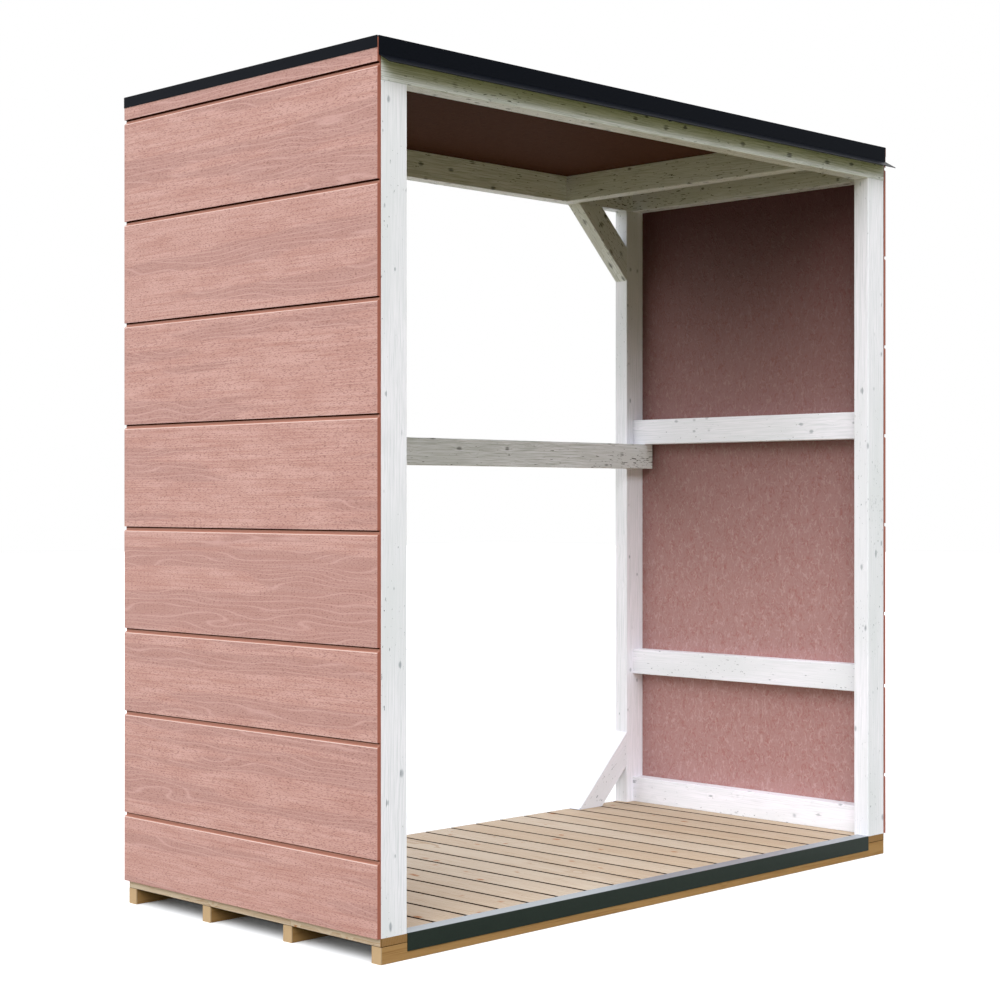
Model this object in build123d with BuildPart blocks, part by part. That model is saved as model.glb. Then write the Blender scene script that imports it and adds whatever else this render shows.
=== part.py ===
"""Open log store: two clad sides, a slatted deck on bearers and a flat roof.

Millimetres. X runs along the width, -Y is the open front, +Z is up.
The origin is on the ground, under the middle of the store's outline, drip lip included.
"""
import os

from build123d import *

# Frame, outside the posts
frame_width = 2000.0
frame_depth = 994.0
clear_height = 1942.5  # deck to the underside of the headers
timber_wide = 80.0
timber_thick = 50.0
timber_arris = 1.5

# Base
bearer_height = 40.0
bearer_width = 32.0
bearer_count = 4
bearer_arris = 1.0
deck_thickness = 20.0
deck_board_width = 100.0
deck_board_count = 19
deck_arris = 2.0
deck_back_setback = 7.0  # the deck stops this far short of the back posts' faces

# Threshold angle between the front posts
threshold_leg = 42.0
threshold_thick = 1.5
threshold_play = 0.3  # at each post

# Rails, heights of their undersides above the deck
upper_rail_height = 1175.0
lower_rail_height = 421.0
middle_rail_inset = 10.0  # the back middle rail's ends stop short of the cladding

# Braces in the back corners, at 45 degrees
brace_reach = 230.0
brace_width = 78.0

# Roof
joist_from_right = 345.0  # joist centre to the outside of the right posts
roof_board_thick = 16.0
felt_thick = 2.5
trim_thick = 1.5
trim_flange = 40.0
trim_drop = 27.5
fascia_drop = 42.5
fascia_cover = 7.0  # how far the front trim covers the cladding's edges
lip_reach = 36.0
lip_drop = 21.5

# Cladding sheets
cladding_thick = 10.5
board_pitch = 265.0
bottom_board = 178.5  # below the lowest groove
lower_sheet_height = 658.5
groove_height = 12.0
groove_depth = 6.5
groove_bevel = 3.0
lap_height = 10.0
lap_clearance = 0.3

# Levels and faces that the pieces share
deck_underside = bearer_height
deck_top = deck_underside + deck_thickness
header_underside = deck_top + clear_height
header_top = header_underside + timber_wide
roof_board_top = header_top + roof_board_thick
felt_top = roof_board_top + felt_thick
trim_top = felt_top + trim_thick
side_face = frame_width / 2
frame_middle = lip_reach / 2  # the lip stands out in front only
front_face = frame_middle - frame_depth / 2
back_face = frame_middle + frame_depth / 2
inner_front = front_face + timber_thick
inner_back = back_face - timber_thick
deck_back = back_face - deck_back_setback
deck_depth = deck_back - front_face
cladding_face = side_face + cladding_thick
post_inner_face = side_face - timber_wide
seam_height = deck_top + lower_sheet_height
sides = {"left": -1, "right": 1}

os.makedirs("parts", exist_ok=True)


def save(piece, name):
    """Label the finished piece and write it as one STEP file."""
    piece.part.label = name
    export_step(piece.part, f"parts/{name}.step")


def rail_across(name, length, y_middle, z_low):
    """A timber that runs along the width, on edge."""
    with BuildPart() as rail:
        with BuildSketch(Plane.YZ.offset(-length / 2)):
            with Locations((y_middle, z_low + timber_wide / 2)):
                Rectangle(timber_thick, timber_wide)
        extrude(amount=length)
        chamfer(rail.edges().filter_by(Axis.X), timber_arris)
    save(rail, name)


def rail_front_to_back(name, x_middle, z_low):
    """A timber that runs between the front and back timbers, on edge."""
    with BuildPart() as rail:
        with BuildSketch(Plane.XZ.offset(-inner_back)):
            with Locations((x_middle, z_low + timber_wide / 2)):
                Rectangle(timber_thick, timber_wide)
        extrude(amount=inner_back - inner_front)
        chamfer(rail.edges().filter_by(Axis.Y), timber_arris)
    save(rail, name)


# Bearers, on the ground along the width
bearer_names = ("front_bearer", "second_bearer", "third_bearer", "back_bearer")
bearer_pitch = (deck_depth - bearer_width) / (bearer_count - 1)
for place in range(bearer_count):
    with BuildPart() as bearer:
        with BuildSketch(Plane.YZ.offset(-side_face)):
            with Locations((front_face + bearer_width / 2 + place * bearer_pitch, bearer_height / 2)):
                Rectangle(bearer_width, bearer_height)
        extrude(amount=frame_width)
        chamfer(bearer.edges().filter_by(Axis.X), bearer_arris)
    save(bearer, bearer_names[place])

# Deck boards, laid front to back on the bearers
deck_pitch = (frame_width - deck_board_width) / (deck_board_count - 1)
with BuildPart() as deck_boards:
    with BuildSketch(Plane.XZ.offset(-deck_back)):
        with Locations((0, deck_underside + deck_thickness / 2)):
            with GridLocations(deck_pitch, deck_thickness, deck_board_count, 1):
                Rectangle(deck_board_width, deck_thickness)
    extrude(amount=deck_depth)
    top_edges = deck_boards.edges().filter_by(Axis.Y).group_by(Axis.Z)[-1]
    chamfer(top_edges, deck_arris)
save(deck_boards, "deck_boards")

# Threshold, a metal angle over the front ends of the deck boards
threshold_length = 2 * (post_inner_face - threshold_play)
threshold_front = front_face - threshold_thick
threshold_top = deck_top + threshold_thick
with BuildPart() as threshold:
    with BuildSketch(Plane.YZ.offset(-threshold_length / 2)):
        with Locations((threshold_front, threshold_top)):
            Rectangle(threshold_leg, threshold_thick, align=(Align.MIN, Align.MAX))
            Rectangle(threshold_thick, threshold_leg, align=(Align.MIN, Align.MAX))
    extrude(amount=threshold_length)
save(threshold, "threshold")

# Posts, one at each corner
post_ends = {"front": front_face + timber_thick / 2, "back": back_face - timber_thick / 2}
for side, sign in sides.items():
    for end, y_middle in post_ends.items():
        with BuildPart() as post:
            with BuildSketch(Plane.XY.offset(deck_top)):
                with Locations((sign * (side_face - timber_wide / 2), y_middle)):
                    Rectangle(timber_wide, timber_thick)
            extrude(amount=clear_height)
            chamfer(post.edges().filter_by(Axis.Z), timber_arris)
        save(post, f"{side}_{end}_post")

# Headers on the posts, and the middle rail on the inner side of the back posts
rail_across("front_header", frame_width, post_ends["front"], header_underside)
rail_across("back_header", frame_width, post_ends["back"], header_underside)
middle_rail_low = deck_top + upper_rail_height - timber_wide
middle_rail_y = inner_back - timber_thick / 2
rail_across("back_middle_rail", frame_width - 2 * middle_rail_inset, middle_rail_y, middle_rail_low)

# Side rails, flush with the outside of the posts
rail_heights = {
    "sole_rail": deck_top,
    "lower_rail": deck_top + lower_rail_height,
    "upper_rail": deck_top + upper_rail_height,
    "top_rail": header_underside,
}
for side, sign in sides.items():
    for rail_name, z_low in rail_heights.items():
        rail_front_to_back(f"{side}_{rail_name}", sign * (side_face - timber_thick / 2), z_low)

# Roof joist, under the roof board near the right side
rail_front_to_back("roof_joist", side_face - joist_from_right, header_underside)

# Braces in the back opening's corners
brace_cut = brace_width * 2**0.5  # along the header or the post, of the sloping timber
brace_levels = {"top": (header_underside, -1), "bottom": (deck_top, 1)}
for side, sign in sides.items():
    for level, (z_seat, upward) in brace_levels.items():
        brace_outline = [
            (sign * (post_inner_face - brace_reach), z_seat),
            (sign * (post_inner_face - brace_reach + brace_cut), z_seat),
            (sign * post_inner_face, z_seat + upward * (brace_reach - brace_cut)),
            (sign * post_inner_face, z_seat + upward * brace_reach),
        ]
        with BuildPart() as brace:
            with BuildSketch(Plane.XZ.offset(-back_face)):
                with BuildLine():
                    Polyline(brace_outline, close=True)
                make_face()
            extrude(amount=timber_thick)
            sloping_edges = brace.edges().filter_by(Axis((0, 0, 0), (sign, 0, upward)))
            chamfer(sloping_edges, timber_arris)
        save(brace, f"{side}_{level}_brace")

# Roof board, which is the ceiling inside, and the felt over it
with BuildPart() as roof_board:
    with BuildSketch(Plane.XY.offset(header_top)):
        with Locations((0, frame_middle)):
            Rectangle(frame_width, frame_depth)
    extrude(amount=roof_board_thick)
save(roof_board, "roof_board")

with BuildPart() as roof_felt:
    with BuildSketch(Plane.XY.offset(roof_board_top)):
        with Locations((0, frame_middle)):
            Rectangle(2 * cladding_face, frame_depth)
    extrude(amount=felt_thick)
save(roof_felt, "roof_felt")

# Front trim: a folded sheet with a flange on the felt and a drip lip kicked forwards
fascia_front = front_face - trim_thick
fascia_low = trim_top - fascia_drop
lip_slope = lip_drop / lip_reach
lip_thick = trim_thick * (1 + lip_slope**2) ** 0.5  # measured upright
fascia_outline = [
    (fascia_front + trim_flange, trim_top),
    (fascia_front, trim_top),
    (fascia_front, fascia_low),
    (fascia_front - lip_reach, fascia_low - lip_drop),
    (fascia_front - lip_reach, fascia_low - lip_drop - lip_thick),
    (front_face, fascia_low - lip_thick + trim_thick * lip_slope),
    (front_face, felt_top),
    (fascia_front + trim_flange, felt_top),
]
fascia_length = 2 * (side_face + fascia_cover)
with BuildPart() as front_trim:
    with BuildSketch(Plane.YZ.offset(-fascia_length / 2)):
        with BuildLine():
            Polyline(fascia_outline, close=True)
        make_face()
    extrude(amount=fascia_length)
save(front_trim, "front_trim")

# Back trim, the same sheet without a lip
with BuildPart() as back_trim:
    with BuildSketch(Plane.YZ.offset(-fascia_length / 2)):
        with Locations((back_face + trim_thick, trim_top)):
            Rectangle(trim_flange, trim_thick, align=(Align.MAX, Align.MAX))
            Rectangle(trim_thick, trim_drop, align=(Align.MAX, Align.MAX))
    extrude(amount=fascia_length)
save(back_trim, "back_trim")

# Side trims, whose flanges stop at the front and back trims' flanges
flange_length = frame_depth + 2 * trim_thick - 2 * trim_flange
for side, sign in sides.items():
    with BuildPart() as side_trim:
        with BuildSketch(Plane.YZ.offset(sign * cladding_face)):
            with Locations((frame_middle, trim_top)):
                Rectangle(frame_depth, trim_drop, align=(Align.CENTER, Align.MAX))
        extrude(amount=sign * trim_thick)
        with BuildSketch(Plane.XY.offset(felt_top)):
            with Locations((sign * (cladding_face - trim_flange / 2), frame_middle)):
                Rectangle(trim_flange, flange_length)
        extrude(amount=trim_thick)
    save(side_trim, f"{side}_trim")


def sheet_outline(top, bottom, grooves, has_lap_below, has_lap_above):
    """Upright section of a grooved sheet: (distance from the frame, height) points."""
    outer = cladding_thick
    recess = cladding_thick - groove_depth
    points = []
    if has_lap_above:
        points += [(0, top), (recess, top), (recess, top - lap_height - groove_height + groove_bevel)]
        points += [(outer - groove_bevel, points[-1][1])]
        points += [(outer, points[-1][1] - groove_bevel)]
    else:
        points += [(0, top), (outer, top)]
    for groove in grooves:
        points += [(outer, groove), (recess, groove)]
        points += [(recess, groove - groove_height + groove_bevel)]
        points += [(outer - groove_bevel, groove - groove_height + groove_bevel)]
        points += [(outer, groove - groove_height)]
    if has_lap_below:
        lap_face = recess + lap_clearance
        lap_top = bottom + lap_height + lap_clearance
        points += [(outer, bottom), (lap_face, bottom), (lap_face, lap_top), (0, lap_top)]
    else:
        points += [(outer, bottom), (0, bottom)]
    return points


# Cladding: an upper and a lower sheet on each side, lapped in the groove between them
lowest_groove = deck_top + bottom_board
upper_count = int((roof_board_top - groove_height - seam_height) // board_pitch)
lower_count = int((seam_height - 2 * groove_height - lowest_groove) // board_pitch) + 1
upper_grooves = [seam_height + place * board_pitch for place in range(upper_count, 0, -1)]
lower_grooves = [lowest_groove + place * board_pitch for place in reversed(range(lower_count))]
upper_sheet = sheet_outline(roof_board_top, seam_height, upper_grooves, True, False)
lower_sheet = sheet_outline(seam_height + lap_height, deck_top, lower_grooves, False, True)
for side, sign in sides.items():
    for level, outline in {"upper": upper_sheet, "lower": lower_sheet}.items():
        with BuildPart() as sheet:
            with BuildSketch(Plane.XZ.offset(-back_face)):
                with BuildLine():
                    Polyline([(sign * (side_face + out), height) for out, height in outline], close=True)
                make_face()
            extrude(amount=frame_depth)
        save(sheet, f"{side}_{level}_cladding")
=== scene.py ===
import math

import bpy
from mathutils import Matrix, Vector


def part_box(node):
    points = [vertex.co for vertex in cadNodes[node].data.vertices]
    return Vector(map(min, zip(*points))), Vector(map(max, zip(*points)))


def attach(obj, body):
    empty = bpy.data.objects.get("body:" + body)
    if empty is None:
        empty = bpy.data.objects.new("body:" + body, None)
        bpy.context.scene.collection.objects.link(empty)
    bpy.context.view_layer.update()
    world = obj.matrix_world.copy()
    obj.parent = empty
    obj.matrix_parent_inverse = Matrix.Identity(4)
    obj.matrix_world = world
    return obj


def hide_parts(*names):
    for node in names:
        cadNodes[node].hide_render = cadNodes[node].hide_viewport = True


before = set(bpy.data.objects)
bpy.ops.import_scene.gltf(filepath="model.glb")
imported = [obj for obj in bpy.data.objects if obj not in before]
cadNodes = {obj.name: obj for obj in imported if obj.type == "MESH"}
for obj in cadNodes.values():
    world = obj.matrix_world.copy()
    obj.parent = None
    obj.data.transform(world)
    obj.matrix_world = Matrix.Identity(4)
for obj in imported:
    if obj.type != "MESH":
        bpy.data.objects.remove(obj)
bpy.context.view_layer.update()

# settings that many nodes share
multiply = {"operation": "MULTIPLY"}
multiplyAdd = {"operation": "MULTIPLY_ADD"}
add = {"operation": "ADD"}
subtract = {"operation": "SUBTRACT"}
absolute = {"operation": "ABSOLUTE"}
power = {"operation": "POWER"}
lessThan = {"operation": "LESS_THAN"}
greaterThan = {"operation": "GREATER_THAN"}
maximum = {"operation": "MAXIMUM"}
smooth = {"interpolation_type": "SMOOTHSTEP"}


def toLinear(hexText):  # an sRGB hex colour as the linear values that the sockets take
    channels = [int(hexText[start:start + 2], 16) / 255 for start in (0, 2, 4)]
    linear = [c / 12.92 if c <= 0.04045 else ((c + 0.055) / 1.055) ** 2.4 for c in channels]
    return (*linear, 1.0)


def addNode(tree, kind, settings, links, output=0):
    # adds one node with its settings and links, and gives an output, or the node itself if output is None
    node = tree.nodes.new(kind)
    for name, value in settings.items():
        setattr(node, name, value)
    for socket, value in links.items():
        if isinstance(value, bpy.types.NodeSocket):
            tree.links.new(value, node.inputs[socket])
        else:
            node.inputs[socket].default_value = value
    return node if output is None or not node.outputs else node.outputs[output]


def startMaterial(name):  # an empty material and its tree
    material = bpy.data.materials.new(name)
    material.use_nodes = True
    material.node_tree.nodes.clear()
    return material, material.node_tree


def layColours(tree, base, layers):  # lays colours over a base, each where its own pattern is 1
    colour = toLinear(base) if isinstance(base, str) else base
    for hexText, share in layers:
        # sockets 6 and 7 are the two colours, and output 2 is their mix
        links = {0: share, 6: colour, 7: toLinear(hexText)}
        colour = addNode(tree, "ShaderNodeMix", {"data_type": "RGBA"}, links, output=2)
    return colour


def surface(tree, colour, roughness, height, relief, specular, dull=None):
    # relief is the bump's real height in metres, and dull is 1 where the face has no gloss at all
    bump = addNode(tree, "ShaderNodeBump", {}, {"Height": height, "Distance": relief, "Strength": 1.0})
    links = {"Base Color": colour, "Roughness": roughness, "Normal": bump, "Specular IOR Level": specular}
    shader = addNode(tree, "ShaderNodeBsdfPrincipled", {}, links)
    if dull:
        shine = addNode(tree, "ShaderNodeMath", multiplyAdd, {0: dull, 1: -specular, 2: specular})
        tree.links.new(shine, shader.node.inputs["Specular IOR Level"])
    return shader


def objectParts(tree):  # object coordinates, and X, Y and Z apart
    coordinates = addNode(tree, "ShaderNodeTexCoord", {}, {}, output=None)
    place = coordinates.outputs["Object"]
    return place, addNode(tree, "ShaderNodeSeparateXYZ", {}, {0: place}, output=None).outputs


def awayFrom(tree, value, middle, reach):  # 1 where a value lies further than reach from the middle
    away = addNode(tree, "ShaderNodeMath", subtract, {0: value, 1: middle})
    away = addNode(tree, "ShaderNodeMath", absolute, {0: away})
    return addNode(tree, "ShaderNodeMath", greaterThan, {0: away, 1: reach})


def wear(pieceNames, material):  # CAD pieces take the material in their own slots
    for pieceName in pieceNames:
        piece = cadNodes[pieceName]
        piece.data.materials.clear()
        piece.data.materials.append(material)


print("camera")
photoView = {
    "place": (-3.9745, -3.8204, 1.0524),  # metres, found from the photograph's edges
    "turn": -45.123,  # degrees about +Z, from looking along +Y
    "focalPixels": 1975.59,
    "framePixels": 1000,
    "sensor": 36.0,  # mm
}
cameraData = bpy.data.cameras.new("photoCamera")
cameraData.sensor_width = photoView["sensor"]
cameraData.lens = photoView["focalPixels"] * photoView["sensor"] / photoView["framePixels"]
camera = bpy.data.objects.new("photoCamera", cameraData)
camera.location = photoView["place"]
camera.rotation_euler = (math.radians(90), 0, math.radians(photoView["turn"]))
bpy.context.scene.collection.objects.link(camera)
bpy.context.scene.camera = camera
bpy.context.scene.view_settings.view_transform = "Standard"

print("light and floor")
studio = {
    "skyColour": "EEF3FF",
    "skyStrength": 1.0,
    "horizonColour": "787A5C",  # dull green light from low down, like hedges, on the store's surfaces only
    "horizonTop": (5, 35),  # degrees of height over which the horizon gives way to the sky
    "paper": "FBFBFA",  # the floor as the camera sees it
    "bounce": "66633A",  # the floor as it lights the store from below, like short grass
    "floorSize": 60.0,
    "lamps": {  # side in degrees from the open front towards +X, height in degrees, strength
        "frontKey": (-45, 45, 2.85),
        "leftFill": (-80, 18, 1.1),
        "backLeft": (-130, 18, 1.1),
        "backFill": (135, 45, 1.0),
    },
    "lampSpread": 60,  # degrees, as soft as a large white sheet
}


def seenDirectly(tree):  # 1 for the camera and in gloss and glass, 0 for light that falls on a surface
    path = addNode(tree, "ShaderNodeLightPath", {}, {}, output=None).outputs
    gloss = addNode(tree, "ShaderNodeMath", maximum, {0: path["Is Camera Ray"], 1: path["Is Glossy Ray"]})
    return addNode(tree, "ShaderNodeMath", maximum, {0: gloss, 1: path["Is Transmission Ray"]})


world = bpy.data.worlds.new("softSky")
bpy.context.scene.world = world
world.use_nodes = True
skyTree = world.node_tree
skyTree.nodes.clear()
direction = addNode(skyTree, "ShaderNodeTexCoord", {}, {})
upward = addNode(skyTree, "ShaderNodeSeparateXYZ", {}, {0: direction}, output=2)
horizonFoot, horizonHead = (math.sin(math.radians(degrees)) for degrees in studio["horizonTop"])
aboveHorizon = addNode(skyTree, "ShaderNodeMapRange", smooth,
                       {"Value": upward, "From Min": horizonFoot, "From Max": horizonHead})
skyTint = layColours(skyTree, studio["horizonColour"], [(studio["skyColour"], aboveHorizon)])
skyLight = addNode(skyTree, "ShaderNodeBackground", {},
                   {"Color": skyTint, "Strength": studio["skyStrength"]})
skyBackdrop = addNode(skyTree, "ShaderNodeBackground", {}, {"Color": (1, 1, 1, 1), "Strength": 1.0})
skyMix = addNode(skyTree, "ShaderNodeMixShader", {}, {0: seenDirectly(skyTree), 1: skyLight, 2: skyBackdrop})
addNode(skyTree, "ShaderNodeOutputWorld", {}, {"Surface": skyMix})

paperFloor, paperTree = startMaterial("paleFloor")
paperSeen = addNode(paperTree, "ShaderNodeBsdfDiffuse", {}, {"Color": toLinear(studio["paper"])})
paperBounce = addNode(paperTree, "ShaderNodeBsdfDiffuse", {}, {"Color": toLinear(studio["bounce"])})
paperMix = addNode(paperTree, "ShaderNodeMixShader", {},
                   {0: seenDirectly(paperTree), 1: paperBounce, 2: paperSeen})
addNode(paperTree, "ShaderNodeOutputMaterial", {}, {"Surface": paperMix})
half = studio["floorSize"] / 2
floorCorners = [(-half, -half, 0), (half, -half, 0), (half, half, 0), (-half, half, 0)]
floorMesh = bpy.data.meshes.new("paleFloor")
floorMesh.from_pydata(floorCorners, [], [(0, 1, 2, 3)])
floorMesh.materials.append(paperFloor)
floor = bpy.data.objects.new("paleFloor", floorMesh)
bpy.context.scene.collection.objects.link(floor)

for lampName, (side, height, strength) in studio["lamps"].items():
    lampData = bpy.data.lights.new(lampName, "SUN")
    lampData.energy = strength
    lampData.angle = math.radians(studio["lampSpread"])
    lamp = bpy.data.objects.new(lampName, lampData)
    lamp.rotation_euler = (math.radians(90 - height), 0, math.radians(side))
    bpy.context.scene.collection.objects.link(lamp)

# Every wood below is drawn by woodFigure. Fibres and rings are finer in real wood than the render can show,
# so both are drawn in bundles of about 2 and 8 mm. Sizes in the dictionaries are in metres.
figure = {
    "waveUnit": 2 * math.pi / 20,  # a wave texture repeats after this at a scale of 1
    "knotSquash": 0.6,  # knots are this much shorter across the grain than along it
    "smallestKnot": 0.25,  # share of the largest knot's radius
    "fray": 2.2,  # how far the fibres fray a knot's rim
    "knotRim": (0.5, 1.3),  # in knot radii, as the next one
    "swirlReach": (0.6, 4.0),  # how far the rings bend round a knot
    "checkFade": 0.03,
}
alongX = (0, math.radians(-90), 0)
alongY = (math.radians(90), 0, 0)
alongZ = (0, 0, 0)


def seedShift(number):  # a fixed shift for each piece, so that no two timbers are cut from the same place
    return (0.05 * math.sin(12.99 * number), 0.05 * math.cos(78.23 * number), 2.37 * number)


def woodFigure(tree, place, wood):
    # Growth rings about the Z axis, fibres along it, knots and short drying checks
    lengthwise = (1, 1, wood["stretch"])
    drawn = addNode(tree, "ShaderNodeVectorMath", multiply, {0: place, 1: lengthwise})
    slow = addNode(tree, "ShaderNodeTexNoise", {},
                   {"Vector": drawn, "Scale": 1 / wood["bendLength"], "Detail": 1.0}, output=1)
    reach = wood["bend"]
    bend = addNode(tree, "ShaderNodeVectorMath", multiplyAdd,
                   {0: slow, 1: (reach, reach, 0), 2: (-reach / 2, -reach / 2, 0)})
    bent = addNode(tree, "ShaderNodeVectorMath", add, {0: place, 1: bend})

    fibreScale = (1 / wood["fibreWidth"], 1 / wood["fibreWidth"], 1 / wood["fibreLength"])
    fibrePlace = addNode(tree, "ShaderNodeVectorMath", multiply, {0: bent, 1: fibreScale})
    fibre = addNode(tree, "ShaderNodeTexNoise", {},
                    {"Vector": fibrePlace, "Scale": 1.0, "Detail": 3.0, "Roughness": 0.6})

    knotPlace = addNode(tree, "ShaderNodeVectorMath", multiply, {0: place, 1: (1, 1, figure["knotSquash"])})
    cell = addNode(tree, "ShaderNodeTexVoronoi", {},
                   {"Vector": knotPlace, "Scale": 1 / wood["knotSpacing"]}, output=None)
    chance = addNode(tree, "ShaderNodeSeparateColor", {}, {0: cell.outputs["Color"]})
    largestKnot = wood["knotRadius"] / wood["knotSpacing"]
    knotReach = addNode(tree, "ShaderNodeMapRange", {},
                        {"Value": chance, "To Min": figure["smallestKnot"] * largestKnot,
                         "To Max": largestKnot})
    knotNear = addNode(tree, "ShaderNodeMath", {"operation": "DIVIDE"},
                       {0: cell.outputs["Distance"], 1: knotReach})
    ragged = addNode(tree, "ShaderNodeMath", multiplyAdd,
                     {0: fibre, 1: -figure["fray"], 2: figure["fray"] / 2})
    ragged = addNode(tree, "ShaderNodeMath", add, {0: knotNear, 1: ragged})
    rimStart, rimStop = figure["knotRim"]
    knot = addNode(tree, "ShaderNodeMapRange", smooth,
                   {"Value": ragged, "From Min": rimStart, "From Max": rimStop, "To Min": 1.0, "To Max": 0.0})
    swirlStart, swirlStop = figure["swirlReach"]
    swirl = addNode(tree, "ShaderNodeMapRange", smooth,
                    {"Value": knotNear, "From Min": swirlStart, "From Max": swirlStop,
                     "To Min": wood["swirl"], "To Max": 0.0})

    ringPlace = addNode(tree, "ShaderNodeVectorMath", multiply, {0: bent, 1: lengthwise})
    rings = addNode(tree, "ShaderNodeTexWave",
                    {"wave_type": "RINGS", "rings_direction": "Z", "wave_profile": "SAW"},
                    {"Vector": ringPlace, "Scale": figure["waveUnit"] / wood["ringWidth"],
                     "Distortion": wood["ringWaver"], "Detail": 2.0, "Detail Scale": 0.4,
                     "Phase Offset": swirl})
    cloud = addNode(tree, "ShaderNodeTexNoise", {},
                    {"Vector": drawn, "Scale": 1 / wood["cloudSize"], "Detail": 2.0})

    checkScale = (1 / wood["checkWidth"], 1 / wood["checkWidth"], 1 / wood["checkLength"])
    checkPlace = addNode(tree, "ShaderNodeVectorMath", multiply, {0: bent, 1: checkScale})
    checkNoise = addNode(tree, "ShaderNodeTexNoise", {},
                         {"Vector": checkPlace, "Scale": 1.0, "Detail": 1.5, "Distortion": 0.6})
    checkCloud = addNode(tree, "ShaderNodeMath", multiplyAdd,
                         {0: cloud, 1: wood["checkPatch"], 2: checkNoise})
    check = addNode(tree, "ShaderNodeMapRange", smooth,
                    {"Value": checkCloud, "From Min": wood["checkFrom"],
                     "From Max": wood["checkFrom"] + figure["checkFade"]})
    return {"rings": rings, "fibre": fibre, "knot": knot, "cloud": cloud, "check": check}


print("glazed timber")
# Planed spruce under two coats of white glaze. The film is thin, so the grain and the knots show through it
# as grey, the surface is satin, and fine checks stay darker.
glazed = {
    "white": "F5F3FC", "grain": "DDDFE6", "knot": "989DA6", "check": "6E747E", "cloud": "E3E5EB",
    "lateWood": (3.0, 0.35),  # sharpness and strength of the dark side of each ring
    "streaks": (0.42, 0.72), "clouds": (0.45, 0.7), "knotStrength": 1.5,
    "roughness": (0.42, 0.62), "specular": 0.3, "relief": 0.0003,
    "wood": {
        "stretch": 0.3, "bendLength": 0.55, "bend": 0.05, "knotSpacing": 0.037, "knotRadius": 0.006,
        "swirl": 5.0, "ringWidth": 0.009, "ringWaver": 1.6, "fibreWidth": 0.0022, "fibreLength": 0.11,
        "cloudSize": 0.14,
        "checkWidth": 0.0028, "checkLength": 0.013, "checkPatch": 0.35, "checkFrom": 0.93,
    },
}
# The timbers in shade under the roof take a shaded copy of the glaze: their knots, cracks and late wood are
# painted darker as painted shade.
shadedGlazed = {
    **glazed,
    "white": "F5F6FC", "grain": "B9BDB9", "knot": "42423C", "check": "22221E", "cloud": "DFE1E2",
    "wood": {**glazed["wood"], "checkFrom": 0.87, "checkLength": 0.024, "knotRadius": 0.0085},
}
# Green painted at the top of the front header's face: painted shade under the drip lip, tinted green as by
# light bounced up from grass
paintedGreenShade = {"colour": "C3CE8C", "foot": 2.02, "top": 2.078, "most": 0.75}
shelteredNames = ("front_header", "back_header", "roof_joist", "left_top_rail", "right_top_rail",
                  "left_top_brace", "right_top_brace", "back_middle_rail")


def glazedTimber(name, turn, shift, look, greenShade=None):
    material, tree = startMaterial(name)
    place, parts = objectParts(tree)
    grain = addNode(tree, "ShaderNodeMapping", {}, {"Vector": place, "Rotation": turn, "Location": shift})
    wood = woodFigure(tree, grain, look["wood"])
    sharpness, strength = look["lateWood"]
    lateWood = addNode(tree, "ShaderNodeMath", power, {0: wood["rings"], 1: sharpness})
    faint, strong = look["streaks"]
    streak = addNode(tree, "ShaderNodeMapRange", {},
                     {"Value": wood["fibre"], "From Min": faint, "From Max": strong})
    share = addNode(tree, "ShaderNodeMath", {**multiplyAdd, "use_clamp": True},
                    {0: lateWood, 1: strength, 2: streak})
    faint, strong = look["clouds"]
    clouds = addNode(tree, "ShaderNodeMapRange", {},
                     {"Value": wood["cloud"], "From Min": faint, "From Max": strong})
    knots = addNode(tree, "ShaderNodeMath", {**multiply, "use_clamp": True},
                    {0: wood["fibre"], 1: look["knotStrength"]})
    knots = addNode(tree, "ShaderNodeMath", multiply, {0: wood["knot"], 1: knots})
    colour = layColours(tree, look["white"], [
        (look["grain"], share), (look["cloud"], clouds), (look["knot"], knots),
        (look["check"], wood["check"])])
    # painted shade: green laid over the top of the face, strongest under the drip lip
    if greenShade:
        greenShadeShare = addNode(tree, "ShaderNodeMapRange", smooth,
                            {"Value": parts[2], "From Min": greenShade["foot"], "From Max": greenShade["top"],
                             "To Max": greenShade["most"]})
        colour = addNode(tree, "ShaderNodeMix", {"data_type": "RGBA", "blend_type": "MULTIPLY"},
                         {0: greenShadeShare, 6: colour, 7: toLinear(greenShade["colour"])}, output=2)
    smoothest, roughest = look["roughness"]
    roughness = addNode(tree, "ShaderNodeMapRange", {},
                        {"Value": wood["fibre"], "To Min": smoothest, "To Max": roughest})
    height = addNode(tree, "ShaderNodeMath", subtract, {0: wood["fibre"], 1: wood["check"]})
    shader = surface(tree, colour, roughness, height, look["relief"], look["specular"])
    addNode(tree, "ShaderNodeOutputMaterial", {}, {"Surface": shader})
    return material


timberTurns = {name: alongX for name in ("front_header", "back_header", "back_middle_rail")}
timberTurns["roof_joist"] = alongY
for side, lean in (("left", 1), ("right", -1)):
    for rail in ("sole_rail", "lower_rail", "upper_rail", "top_rail"):
        timberTurns[f"{side}_{rail}"] = alongY
    for post in ("front_post", "back_post"):
        timberTurns[f"{side}_{post}"] = alongZ
    timberTurns[f"{side}_top_brace"] = (0, math.radians(-45 * lean), 0)
    timberTurns[f"{side}_bottom_brace"] = (0, math.radians(45 * lean), 0)
for number, (pieceName, turn) in enumerate(timberTurns.items(), 1):
    # the shaded copy of the glaze, with its painted shade, goes on the timbers under the roof
    coat = shadedGlazed if pieceName in shelteredNames else glazed
    # only the front header gets the painted green shade
    greenShade = paintedGreenShade if pieceName == "front_header" else None
    wear([pieceName], glazedTimber("glazedTimber_" + pieceName, turn, seedShift(number), coat, greenShade))

print("bearers")
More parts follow.
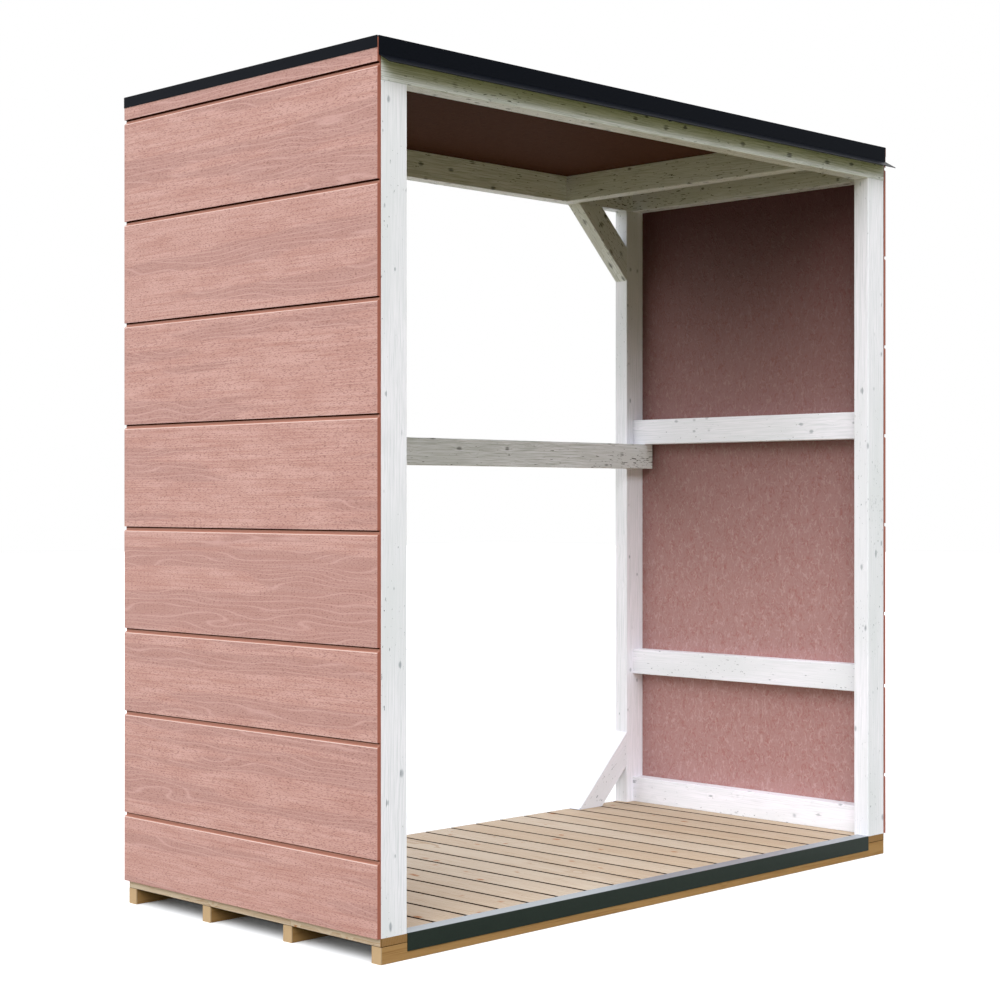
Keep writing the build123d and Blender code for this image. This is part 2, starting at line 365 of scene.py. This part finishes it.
# Planed softwood, oiled against damp. Honey brown on the long faces, paler on the sawn ends.
bearer = {
    "names": ("front_bearer", "second_bearer", "third_bearer", "back_bearer"),
    "plain": "AC8757", "grain": "8A653A", "end": "B49A79", "knot": "6E4D26", "check": "4A3418",
    "relief": 0.0006,
    "firstSeed": 40,
    "wood": {
        "stretch": 0.3, "bendLength": 0.5, "bend": 0.04, "knotSpacing": 0.11, "knotRadius": 0.008,
        "swirl": 4.0, "ringWidth": 0.006, "ringWaver": 1.2, "fibreWidth": 0.0016, "fibreLength": 0.09,
        "cloudSize": 0.2,
        "checkWidth": 0.0025, "checkLength": 0.02, "checkPatch": 0.3, "checkFrom": 0.98,
    },
}
plainWood = {  # what bearers and deck share
    "lateWood": 2.0, "streaks": (0.35, 0.75), "fibreStrength": 0.45,
    "sawnDepth": 0.003, "sawnStrength": 0.85,  # how deep the sawn ends' tone reaches, in metres
    "roughness": (0.6, 0.8), "specular": 0.15,
}


def plainTimber(name, look, turn, shift, endAxis, box, boards=None):
    # Unpainted wood, sawn off at both ends of endAxis. Boards that lie side by side along X get their own
    # grain and tone by their number, and their sides and undersides are painted dark as painted shade in the
    # gaps and underneath.
    material, tree = startMaterial(name)
    place, parts = objectParts(tree)
    low, high = box
    layers = []
    gapAndUnderShade = None
    if boards:
        number = addNode(tree, "ShaderNodeMath", {"operation": "DIVIDE"}, {0: parts[0], 1: boards["Pitch"]})
        number = addNode(tree, "ShaderNodeMath", {"operation": "ROUND"}, {0: number})
        pick = addNode(tree, "ShaderNodeTexWhiteNoise", {"noise_dimensions": "1D"},
                       {"W": number}, output=None)
        layers.append((look["other"], pick.outputs["Value"]))
        jump = addNode(tree, "ShaderNodeVectorMath", multiply, {0: pick.outputs["Color"], 1: look["jump"]})
        place = addNode(tree, "ShaderNodeVectorMath", add, {0: place, 1: jump})
        across = addNode(tree, "ShaderNodeMath", multiplyAdd, {0: number, 1: -boards["Pitch"], 2: parts[0]})
        # painted shade on the board sides in the gaps and on the undersides
        gapAndUnderShade = awayFrom(tree, across, 0.0, boards["Board Width"] / 2 - look["sideDepth"])
        inner = addNode(tree, "ShaderNodeMath", absolute, {0: parts[0]})
        inner = addNode(tree, "ShaderNodeMath", lessThan, {0: inner, 1: high.x - look["outerSide"]})
        gapAndUnderShade = addNode(tree, "ShaderNodeMath", multiply, {0: gapAndUnderShade, 1: inner})
        foot = addNode(tree, "ShaderNodeMath", lessThan, {0: parts[2], 1: low.z + look["footLine"]})
        gapAndUnderShade = addNode(tree, "ShaderNodeMath", maximum, {0: gapAndUnderShade, 1: foot})
    grain = addNode(tree, "ShaderNodeMapping", {}, {"Vector": place, "Rotation": turn, "Location": shift})
    wood = woodFigure(tree, grain, look["wood"])
    lateWood = addNode(tree, "ShaderNodeMath", power, {0: wood["rings"], 1: plainWood["lateWood"]})
    faint, strong = plainWood["streaks"]
    streak = addNode(tree, "ShaderNodeMapRange", {},
                     {"Value": wood["fibre"], "From Min": faint, "From Max": strong})
    share = addNode(tree, "ShaderNodeMath", multiply, {0: lateWood, 1: streak})
    share = addNode(tree, "ShaderNodeMath", {**multiplyAdd, "use_clamp": True},
                    {0: wood["fibre"], 1: plainWood["fibreStrength"], 2: share})
    middle = (low[endAxis] + high[endAxis]) / 2
    reach = (high[endAxis] - low[endAxis]) / 2 - plainWood["sawnDepth"]
    sawn = awayFrom(tree, parts[endAxis], middle, reach)
    sawn = addNode(tree, "ShaderNodeMath", multiply, {0: sawn, 1: plainWood["sawnStrength"]})
    layers += [(look["grain"], share), (look["knot"], wood["knot"]), (look["check"], wood["check"]),
               (look["end"], sawn)]
    if boards:
        layers.append((look["side"], gapAndUnderShade))
    colour = layColours(tree, look["plain"], layers)
    smoothest, roughest = plainWood["roughness"]
    roughness = addNode(tree, "ShaderNodeMapRange", {},
                        {"Value": wood["fibre"], "To Min": smoothest, "To Max": roughest})
    shader = surface(tree, colour, roughness, wood["fibre"], look["relief"], plainWood["specular"], gapAndUnderShade)
    addNode(tree, "ShaderNodeOutputMaterial", {}, {"Surface": shader})
    return material


for number, pieceName in enumerate(bearer["names"], bearer["firstSeed"]):
    wear([pieceName], plainTimber("oiledSoftwood_" + pieceName, bearer, alongX, seedShift(number), 0,
                                  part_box(pieceName)))


def startTree(name, inputs):  # a node tree whose inputs are named sizes
    tree = bpy.data.node_groups.new(name, "GeometryNodeTree")
    for inputName, kind in inputs.items():
        tree.interface.new_socket(name=inputName, in_out="INPUT", socket_type="NodeSocket" + kind)
    tree.interface.new_socket(name="Geometry", in_out="OUTPUT", socket_type="NodeSocketGeometry")
    return tree, addNode(tree, "NodeGroupInput", {}, {}, output=None).outputs


def endTree(tree, instances, material):  # makes the copies real and gives them their material
    real = addNode(tree, "GeometryNodeRealizeInstances", {}, {"Geometry": instances})
    real = addNode(tree, "GeometryNodeSetMaterial", {}, {"Geometry": real, "Material": material})
    addNode(tree, "NodeGroupOutput", {}, {0: real})


def growPiece(pieceName, tree, sizes):  # runs the tree once and keeps the result as a plain mesh
    host = bpy.data.objects.new(pieceName + "Host", bpy.data.meshes.new(pieceName + "Host"))
    bpy.context.scene.collection.objects.link(host)
    modifier = host.modifiers.new("grow", "NODES")
    modifier.node_group = tree
    for item in tree.interface.items_tree:
        if item.in_out == "INPUT":
            modifier[item.identifier] = sizes[item.name]
    depsgraph = bpy.context.evaluated_depsgraph_get()
    mesh = bpy.data.meshes.new_from_object(host.evaluated_get(depsgraph), depsgraph=depsgraph)
    bpy.data.objects.remove(host)
    mesh.name = pieceName
    piece = bpy.data.objects.new(pieceName, mesh)
    bpy.context.scene.collection.objects.link(piece)
    print(pieceName, len(mesh.polygons), "faces")
    return piece


print("deck")
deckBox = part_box("deck_boards")
deck = {
    "size": {  # metres
        "Board Count": 19,
        "Board Width": 0.100,
        "Board Thickness": deckBox[1].z - deckBox[0].z,
        "Board Length": deckBox[1].y - deckBox[0].y,
        "Arris": 0.001,  # radius of the planed edges
        "Sawing": 0.0012,  # how much the boards differ in length at the back
        "Seed": 7,
    },
    "look": {  # planed larch, left to weather: pale beige, pink in the late wood, with small orange knots
        "plain": "CABEAD", "other": "C1AF99", "grain": "9A7A5A", "side": "1E0C00", "end": "875F26",
        "knot": "9C6538", "check": "8A5A34",
        "jump": (0.3, 5.0, 0.2),  # how far apart the boards are cut from the tree
        "sideDepth": 0.0024, "outerSide": 0.0015, "footLine": 0.0012,  # where the painted shade on the board sides and undersides begins
        "relief": 0.0005,
        "seed": 50,
        "wood": {
            "stretch": 0.3, "bendLength": 0.5, "bend": 0.05, "knotSpacing": 0.06, "knotRadius": 0.009,
            "swirl": 5.0, "ringWidth": 0.008, "ringWaver": 1.4, "fibreWidth": 0.002, "fibreLength": 0.1,
            "cloudSize": 0.2,
            "checkWidth": 0.003, "checkLength": 0.02, "checkPatch": 0.3, "checkFrom": 0.93,
        },
    },
}
deckRun = deckBox[1].x - deckBox[0].x - deck["size"]["Board Width"]
deck["size"]["Pitch"] = deckRun / (deck["size"]["Board Count"] - 1)
deckShift = seedShift(deck["look"]["seed"])
deckWood = plainTimber("planedLarch", deck["look"], alongY, deckShift, 1, deckBox, deck["size"])

deckTree, given = startTree("deckBoards", {
    "Board Count": "Int", "Board Width": "Float", "Board Thickness": "Float", "Board Length": "Float",
    "Arris": "Float", "Sawing": "Float", "Seed": "Int", "Pitch": "Float"})
profile = addNode(deckTree, "GeometryNodeCurvePrimitiveQuadrilateral", {"mode": "RECTANGLE"},
                  {"Width": given["Board Width"], "Height": given["Board Thickness"]})
profile = addNode(deckTree, "GeometryNodeFilletCurve", {"mode": "POLY"},
                  {"Curve": profile, "Count": 3, "Radius": given["Arris"], "Limit Radius": True})
lengthEnd = addNode(deckTree, "ShaderNodeCombineXYZ", {}, {"Y": given["Board Length"]})
lengthLine = addNode(deckTree, "GeometryNodeCurvePrimitiveLine", {}, {"Start": (0, 0, 0), "End": lengthEnd})
board = addNode(deckTree, "GeometryNodeCurveToMesh", {},
                {"Curve": lengthLine, "Profile Curve": profile, "Fill Caps": True})
lastBoard = addNode(deckTree, "ShaderNodeMath", subtract, {0: given["Board Count"], 1: 1.0})
run = addNode(deckTree, "ShaderNodeMath", multiply, {0: lastBoard, 1: given["Pitch"]})
firstX = addNode(deckTree, "ShaderNodeMath", multiply, {0: run, 1: -0.5})
firstPlace = addNode(deckTree, "ShaderNodeCombineXYZ", {},
                     {"X": firstX, "Y": deckBox[0].y, "Z": (deckBox[0].z + deckBox[1].z) / 2})
step = addNode(deckTree, "ShaderNodeCombineXYZ", {}, {"X": given["Pitch"]})
row = addNode(deckTree, "GeometryNodeMeshLine", {"mode": "OFFSET"},
              {"Count": given["Board Count"], "Start Location": firstPlace, "Offset": step})
boards = addNode(deckTree, "GeometryNodeInstanceOnPoints", {}, {"Points": row, "Instance": board})
cut = addNode(deckTree, "FunctionNodeRandomValue", {"data_type": "FLOAT"},
              {2: 0.0, 3: given["Sawing"], "Seed": given["Seed"]}, output=1)
shorter = addNode(deckTree, "ShaderNodeMath", {"operation": "DIVIDE"}, {0: cut, 1: given["Board Length"]})
shorter = addNode(deckTree, "ShaderNodeMath", subtract, {0: 1.0, 1: shorter})
lengthScale = addNode(deckTree, "ShaderNodeCombineXYZ", {}, {"X": 1.0, "Y": shorter, "Z": 1.0})
boards = addNode(deckTree, "GeometryNodeScaleInstances", {}, {"Instances": boards, "Scale": lengthScale})
endTree(deckTree, boards, deckWood)
deckBoards = growPiece("deckBoards", deckTree, deck["size"])
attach(deckBoards, "root")
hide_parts("deck_boards")

print("threshold and roof trims")
# Steel sheet with a baked polyester coat: smooth, a little orange peel, a gloss that shows at flat angles.
coats = {
    "threshold": {
        "colour": "131E17", "speck": "1B2A20", "roughness": 0.2, "specular": 0.1,
        "flangeSheen": "878E94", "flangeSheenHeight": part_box("threshold")[1].z - 0.0003,  # the upper flange, painted paler as a painted sheen of the bright sky on it
    },
    "trim": {"colour": "06090F", "speck": "0E1118", "roughness": 0.45, "specular": 0.03},
    # metres; the specks are several times coarser than real ones, so that they show
    "speckSize": 1 / 900, "peelSize": 0.004, "smearSize": 1 / 9.0, "relief": 0.00002,
    "specks": (0.4, 0.7), "smoother": 0.06, "rougher": 0.08,
}
trimNames = ("front_trim", "back_trim", "left_trim", "right_trim")


def coatedSteel(name, look):
    material, tree = startMaterial(name)
    place, parts = objectParts(tree)
    speck = addNode(tree, "ShaderNodeTexNoise", {},
                    {"Vector": place, "Scale": 1 / coats["speckSize"], "Detail": 2.0})
    faint, strong = coats["specks"]
    specks = addNode(tree, "ShaderNodeMapRange", {}, {"Value": speck, "From Min": faint, "From Max": strong})
    smear = addNode(tree, "ShaderNodeTexNoise", {},
                    {"Vector": place, "Scale": 1 / coats["smearSize"], "Detail": 4.0})
    roughness = addNode(tree, "ShaderNodeMapRange", {},
                        {"Value": smear, "To Min": look["roughness"] - coats["smoother"],
                         "To Max": look["roughness"] + coats["rougher"]})
    peel = addNode(tree, "ShaderNodeTexNoise", {},
                   {"Vector": place, "Scale": 1 / coats["peelSize"], "Detail": 1.0})
    layers = [(look["speck"], specks)]
    # painted sheen: the upper flange is painted paler
    if "flangeSheen" in look:
        top = addNode(tree, "ShaderNodeMath", greaterThan, {0: parts[2], 1: look["flangeSheenHeight"]})
        layers.append((look["flangeSheen"], top))
    colour = layColours(tree, look["colour"], layers)
    shader = surface(tree, colour, roughness, peel, coats["relief"], look["specular"])
    addNode(tree, "ShaderNodeOutputMaterial", {}, {"Surface": shader})
    return material


wear(["threshold"], coatedSteel("polyesterCoatedSteelGreen", coats["threshold"]))
wear(trimNames, coatedSteel("polyesterCoatedSteelBlack", coats["trim"]))

print("roof felt and board")
# Bitumen felt dressed with crushed slate: dark, rough and speckled. Each chip is about 2 mm wide.
slatedFelt = {
    "dark": "1F2123", "pale": "4A4D50", "chip": 0.0022,
    "roughness": 0.92, "relief": 0.0008, "specular": 0.5,
}
felt, tree = startMaterial("slatedFelt")
feltPlace, parts = objectParts(tree)
chips = addNode(tree, "ShaderNodeTexVoronoi", {},
                {"Vector": feltPlace, "Scale": 1 / slatedFelt["chip"]}, output=None)
chipShade = addNode(tree, "ShaderNodeSeparateColor", {}, {0: chips.outputs["Color"]})
colour = layColours(tree, slatedFelt["dark"], [(slatedFelt["pale"], chipShade)])
shader = surface(tree, colour, slatedFelt["roughness"], chips.outputs["Distance"], slatedFelt["relief"],
                 slatedFelt["specular"])
addNode(tree, "ShaderNodeOutputMaterial", {}, {"Surface": shader})
wear(["roof_felt"], felt)

# Pressed fibre board with a raw face: wood wool that lies every way. Its strands are drawn coarser than real
# ones so that they show.
# The pale strands in the glint colour are painted glints, highlights where light catches the wool. Sizes are
# in metres.
fibreBoard = {
    "wall": {"plain": "AB8684", "strand": "985751", "glint": "CFB4AF", "roughness": 0.5, "specular": 0.12,
             "relief": 0.0006},
    "ceiling": {"plain": "44281A", "strand": "311B11", "glint": "4D3424", "roughness": 0.85, "specular": 0.03,
                "relief": 0.0004},
    # The walls get darker between these heights, as painted shade under the roof. That is read from the
    # photograph.
    "topShade": {"colour": "360F0C", "from": 0.75, "to": 2.0, "most": 0.92},
    "strandWidth": 0.0013, "curl": 0.011, "length": 0.018, "stretch": 0.6,
    "lineShare": 0.6, "strandsKept": (0.42, 0.55), "glintShift": (0.37, 0.19, 0.53),
    "darkStrength": 0.5, "glintStrength": 0.36,
    "cloudSize": 0.006, "clouds": (0.35, 0.7), "cloudStrength": 0.3, "cloudRelief": 1.5,
}


def woolStrands(tree, place, shift):  # thin curling lines, cut into short strands
    moved = addNode(tree, "ShaderNodeVectorMath", multiplyAdd,
                    {0: place, 1: (1, 1, fibreBoard["stretch"]), 2: shift})
    curls = addNode(tree, "ShaderNodeTexNoise", {},
                    {"Vector": moved, "Scale": 1 / fibreBoard["curl"], "Detail": 0.6, "Distortion": 0.4})
    away = addNode(tree, "ShaderNodeMath", subtract, {0: curls, 1: 0.5})
    away = addNode(tree, "ShaderNodeMath", absolute, {0: away})
    lineWidth = fibreBoard["lineShare"] * fibreBoard["strandWidth"] / fibreBoard["curl"]
    line = addNode(tree, "ShaderNodeMapRange", smooth,
                   {"Value": away, "From Min": 0.0, "From Max": lineWidth, "To Min": 1.0, "To Max": 0.0})
    cuts = addNode(tree, "ShaderNodeTexNoise", {},
                   {"Vector": moved, "Scale": 1 / fibreBoard["length"], "Detail": 1.0})
    cutFrom, cutTo = fibreBoard["strandsKept"]
    kept = addNode(tree, "ShaderNodeMapRange", {}, {"Value": cuts, "From Min": cutFrom, "From Max": cutTo})
    return addNode(tree, "ShaderNodeMath", multiply, {0: line, 1: kept})


def pressedFibre(tree, place, look, topShade=None):  # the shader of a raw board, with painted shade darker with height if asked
    dark = woolStrands(tree, place, (0, 0, 0))
    pale = woolStrands(tree, place, fibreBoard["glintShift"])
    cloud = addNode(tree, "ShaderNodeTexNoise", {},
                    {"Vector": place, "Scale": 1 / fibreBoard["cloudSize"], "Detail": 4.0, "Roughness": 0.7})
    faint, strong = fibreBoard["clouds"]
    clouds = addNode(tree, "ShaderNodeMapRange", {},
                     {"Value": cloud, "From Min": faint, "From Max": strong,
                      "To Max": fibreBoard["cloudStrength"]})
    darkShare = addNode(tree, "ShaderNodeMath", multiply, {0: dark, 1: fibreBoard["darkStrength"]})
    glintShare = addNode(tree, "ShaderNodeMath", multiply, {0: pale, 1: fibreBoard["glintStrength"]})
    # the glint colour is a painted highlight on the pale strands
    layers = [(look["strand"], clouds), (look["strand"], darkShare), (look["glint"], glintShare)]
    if topShade:
        layers.append((fibreBoard["topShade"]["colour"], topShade))
    colour = layColours(tree, look["plain"], layers)
    wool = addNode(tree, "ShaderNodeMath", add, {0: dark, 1: pale})
    wool = addNode(tree, "ShaderNodeMath", multiplyAdd, {0: cloud, 1: fibreBoard["cloudRelief"], 2: wool})
    return surface(tree, colour, look["roughness"], wool, look["relief"], look["specular"])


ceiling, tree = startMaterial("pressedFibreBoard")
ceilingPlace, parts = objectParts(tree)
shader = pressedFibre(tree, ceilingPlace, fibreBoard["ceiling"])
addNode(tree, "ShaderNodeOutputMaterial", {}, {"Surface": shader})
wear(["roof_board"], ceiling)

print("cladding")
# Pressed fibre-board siding with a wood grain in low relief, stained old rose. It has long faint streaks and
# pores, coarser than real ones so that they show, and darker bands that carry paler ridges, painted
# highlights where the embossed ridges catch the light. In each groove the recess is painted dark as painted
# shadow under the board above, the slope below it redder as painted shade, and the arris under it paler as a
# painted highlight. The cut edges are redder.
siding = {
    "light": "B48C84", "shade": "9E7066", "band": "966E67", "ridgeHighlight": "BB948E", "pore": "72443C",
    "edge": "91503E", "recess": "37170E", "slopeShade": "9D6755", "arrisHighlight": "CDB1AA",
    "pitch": 0.265, "bottomBoard": 0.1785,  # metres from groove to groove, and up to the lowest one
    "seamMargin": 0.05,  # no groove lies this close under the seam
    "recessHeight": 0.0034, "grooveHeight": 0.0112, "arrisHeight": 0.0018,
    # width and length of each mark, in metres
    "streakSize": (0.003, 0.2), "poreSize": (0.0016, 0.008), "blotchSize": (0.025, 0.14),
    "bandSize": (0.06, 0.9), "waveSize": (0.06, 0.35), "ridgeGap": 0.015, "waveHeight": 0.045,
    # where each mark starts and is full, and its strength
    "streaks": (0.45, 0.7, 0.8), "pores": (0.53, 0.68, 0.7), "blotches": (0.4, 0.65, 0.5),
    "bands": (0.54, 0.57),
    "bandStrength": 0.55, "ridgeSharpness": 14.0, "ridgeStrength": 0.5,
    "jump": (0.1, 3.0, 0.3),  # how far apart the boards' figures lie
    "poreDepth": 1.5, "relief": 0.0002, "roughness": (0.45, 0.7), "specular": 0.5,
    "edgeDepth": 0.0005, "innerSkin": 0.0005,
}
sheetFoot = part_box("left_lower_cladding")[0].z
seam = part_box("left_upper_cladding")[0].z
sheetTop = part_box("left_upper_cladding")[1].z
grooveTops = []
for start, stop in ((sheetFoot + siding["bottomBoard"], seam - siding["seamMargin"]), (seam, sheetTop)):
    while start < stop:
        grooveTops.append(start)
        start += siding["pitch"]


def alongNoise(tree, place, size, detail):  # noise drawn out along Y: size is its width and length in metres
    drawn = addNode(tree, "ShaderNodeVectorMath", multiply,
                    {0: place, 1: (1 / size[0], 1 / size[1], 1 / size[0])})
    return addNode(tree, "ShaderNodeTexNoise", {}, {"Vector": drawn, "Scale": 1.0, "Detail": detail})


def grooveZone(tree, height, low, high):  # 1 between two depths below any of the grooves' tops
    total = 0.0
    for top in grooveTops:
        inside = addNode(tree, "ShaderNodeMath", {"operation": "COMPARE"},
                         {0: height, 1: top - (low + high) / 2, 2: (high - low) / 2})
        total = addNode(tree, "ShaderNodeMath", add, {0: inside, 1: total})
    return total


def stainedSiding(side):
    material, tree = startMaterial("pressedSiding_" + side)
    low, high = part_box(side + "_upper_cladding")
    place, parts = objectParts(tree)
    board = 0.0
    for grooveTop in grooveTops:
        above = addNode(tree, "ShaderNodeMath", greaterThan, {0: parts[2], 1: grooveTop})
        board = addNode(tree, "ShaderNodeMath", add, {0: above, 1: board})
    pick = addNode(tree, "ShaderNodeTexWhiteNoise", {"noise_dimensions": "1D"}, {"W": board}, output=1)
    shift = addNode(tree, "ShaderNodeVectorMath", multiply, {0: pick, 1: siding["jump"]})
    moved = addNode(tree, "ShaderNodeVectorMath", add, {0: place, 1: shift})

    noises = {}
    marks = {}
    for mark, size, detail in (("streaks", "streakSize", 3.0), ("pores", "poreSize", 1.0),
                               ("blotches", "blotchSize", 3.0)):
        noises[mark] = alongNoise(tree, moved, siding[size], detail)
        faint, strong, most = siding[mark]
        marks[mark] = addNode(tree, "ShaderNodeMapRange", {},
                              {"Value": noises[mark], "From Min": faint, "From Max": strong,
                               "To Max": most})
    streak = noises["streaks"]
    band = alongNoise(tree, moved, siding["bandSize"], 1.0)
    bandStart, bandFull = siding["bands"]
    bandShare = addNode(tree, "ShaderNodeMapRange", smooth,
                        {"Value": band, "From Min": bandStart, "From Max": bandFull})
    bandTint = addNode(tree, "ShaderNodeMath", multiply, {0: bandShare, 1: siding["bandStrength"]})

    wave = alongNoise(tree, moved, siding["waveSize"], 1.0)
    wave = addNode(tree, "ShaderNodeMapRange", {},
                   {"Value": wave, "To Min": -siding["waveHeight"], "To Max": siding["waveHeight"]})
    wave = addNode(tree, "ShaderNodeCombineXYZ", {}, {"Z": wave})
    waved = addNode(tree, "ShaderNodeVectorMath", add, {0: moved, 1: wave})
    # painted highlights on the embossed ridges, where they would catch the light
    ridgeHighlight = addNode(tree, "ShaderNodeTexWave",
                    {"wave_type": "BANDS", "bands_direction": "Z", "wave_profile": "SIN"},
                    {"Vector": waved, "Scale": figure["waveUnit"] / siding["ridgeGap"], "Distortion": 0.0})
    ridgeHighlight = addNode(tree, "ShaderNodeMath", power, {0: ridgeHighlight, 1: siding["ridgeSharpness"]})
    ridgeHighlight = addNode(tree, "ShaderNodeMath", multiply, {0: ridgeHighlight, 1: bandShare})
    ridgeHighlight = addNode(tree, "ShaderNodeMath", multiply, {0: ridgeHighlight, 1: siding["ridgeStrength"]})

    # painted light in each groove: the recess dark as painted shadow, the slope redder as painted shade, the
    # arris paler as a painted highlight
    recessEnd, grooveEnd = siding["recessHeight"], siding["grooveHeight"]
    arrisHighlight = grooveZone(tree, parts[2], grooveEnd, grooveEnd + siding["arrisHeight"])
    slopeShade = grooveZone(tree, parts[2], recessEnd, grooveEnd)
    recess = grooveZone(tree, parts[2], 0, recessEnd)
    sawn = awayFrom(tree, parts[1], (low.y + high.y) / 2, (high.y - low.y) / 2 - siding["edgeDepth"])
    colour = layColours(tree, siding["light"], [
        (siding["shade"], marks["streaks"]), (siding["shade"], marks["blotches"]), (siding["band"], bandTint),
        (siding["pore"], marks["pores"]), (siding["ridgeHighlight"], ridgeHighlight), (siding["arrisHighlight"], arrisHighlight),
        (siding["slopeShade"], slopeShade), (siding["recess"], recess), (siding["edge"], sawn)])
    height = addNode(tree, "ShaderNodeMath", multiplyAdd,
                     {0: marks["pores"], 1: -siding["poreDepth"], 2: streak})
    smoothest, roughest = siding["roughness"]
    roughness = addNode(tree, "ShaderNodeMapRange", {},
                        {"Value": streak, "To Min": smoothest, "To Max": roughest})
    outside = surface(tree, colour, roughness, height, siding["relief"], siding["specular"], recess)

    # painted shade on the inner face, darker towards the top
    topShade = fibreBoard["topShade"]
    shade = addNode(tree, "ShaderNodeMapRange", {},
                    {"Value": parts[2], "From Min": topShade["from"], "From Max": topShade["to"],
                     "To Max": topShade["most"]})
    inside = pressedFibre(tree, place, fibreBoard["wall"], shade)
    innerX = min(abs(low.x), abs(high.x)) + siding["innerSkin"]
    sideways = addNode(tree, "ShaderNodeMath", absolute, {0: parts[0]})
    innerFace = addNode(tree, "ShaderNodeMath", lessThan, {0: sideways, 1: innerX})
    shader = addNode(tree, "ShaderNodeMixShader", {}, {0: innerFace, 1: outside, 2: inside})
    addNode(tree, "ShaderNodeOutputMaterial", {}, {"Surface": shader})
    return material


for side in ("left", "right"):
    wear([side + "_upper_cladding", side + "_lower_cladding"], stainedSiding(side))

print("sizes")
